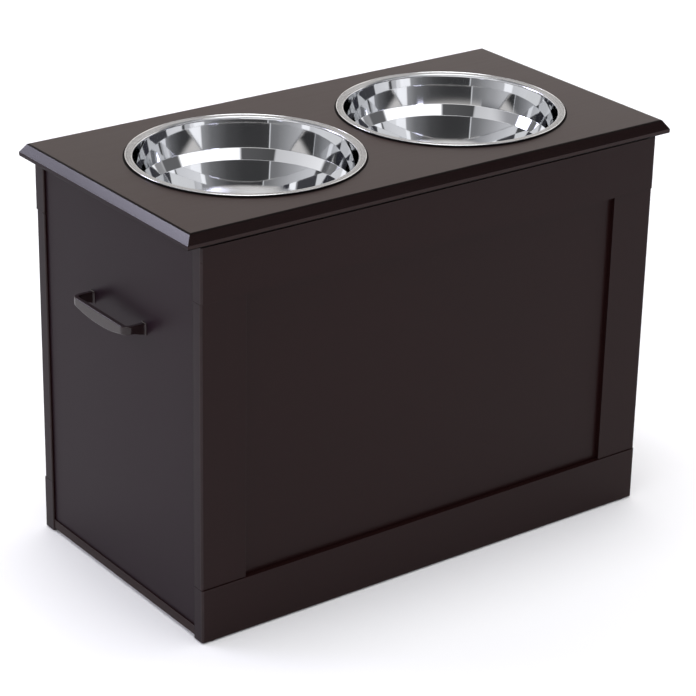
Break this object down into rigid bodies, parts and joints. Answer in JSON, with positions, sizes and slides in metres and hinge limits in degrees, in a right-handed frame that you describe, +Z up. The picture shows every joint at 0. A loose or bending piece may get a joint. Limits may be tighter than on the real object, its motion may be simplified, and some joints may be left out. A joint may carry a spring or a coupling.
{
  "type": "elevated pet feeder",
  "caption": "Raised pet feeder: a storage cabinet with a framed front, side handles and a hinged bevelled lid that holds lift-out stainless steel bowls.",
  "frame": {"origin": "on the floor, at the middle of the whole object", "axes": "+Z up, +X to the right along the long front, +Y to the back (hinge side)"},
  "size_m": [0.6104, 0.31, 0.4399],
  "materials": {
    "lacquered_board": "espresso brown satin lacquer on fibreboard",
    "lacquered_metal": "satin espresso brown lacquer on cast zinc",
    "polished_steel": "mirror polished stainless steel, satin rim",
    "zinc_steel": "zinc plated",
    "beech": "plain turned beech",
    "black_rubber": "matt"
  },
  "bodies": {
    "cabinet": {"front_top_rail": "lacquered_board", "front_bottom_rail": "lacquered_board", "front_left_stile": "lacquered_board", "front_right_stile": "lacquered_board", "front_panel": "lacquered_board", "rear_top_rail": "lacquered_board", "rear_bottom_rail": "lacquered_board", "rear_left_stile": "lacquered_board", "rear_right_stile": "lacquered_board", "rear_panel": "lacquered_board", "left_side_panel": "lacquered_board", "right_side_panel": "lacquered_board", "bottom_panel": "lacquered_board", "left_handle": "lacquered_metal", "right_handle": "lacquered_metal", "handle_screws": "zinc_steel", "hinge_frame_leaves": "zinc_steel", "hinge_pins": "zinc_steel", "hinge_frame_screws": "zinc_steel", "cam_locks": "zinc_steel", "cam_bolts": "zinc_steel", "bottom_screws": "zinc_steel", "side_dowels": "beech", "frame_dowels": "beech", "bottom_dowels": "beech", "lid_bumpers": "black_rubber", "foot_pads": "black_rubber"},
    "lid": {"lid_board": "lacquered_board", "hinge_lid_leaves": "zinc_steel", "hinge_lid_screws": "zinc_steel"},
    "bowl_left": {"bowl_left": "polished_steel"},
    "bowl_right": {"bowl_right": "polished_steel"}
  },
  "joints": [
    {"name": "lid_hinge", "type": "hinge", "parent": "cabinet", "child": "lid", "pos_m": [0, 0.152, 0.4225], "axis": [-1, 0, 0], "range_deg": [0, 105]},
    {"name": "bowl_left_lift", "type": "slide", "parent": "lid", "child": "bowl_left", "axis": [0, 0, 1], "range_m": [0, 0.1]},
    {"name": "bowl_right_lift", "type": "slide", "parent": "lid", "child": "bowl_right", "axis": [0, 0, 1], "range_m": [0, 0.1]}
  ]
}
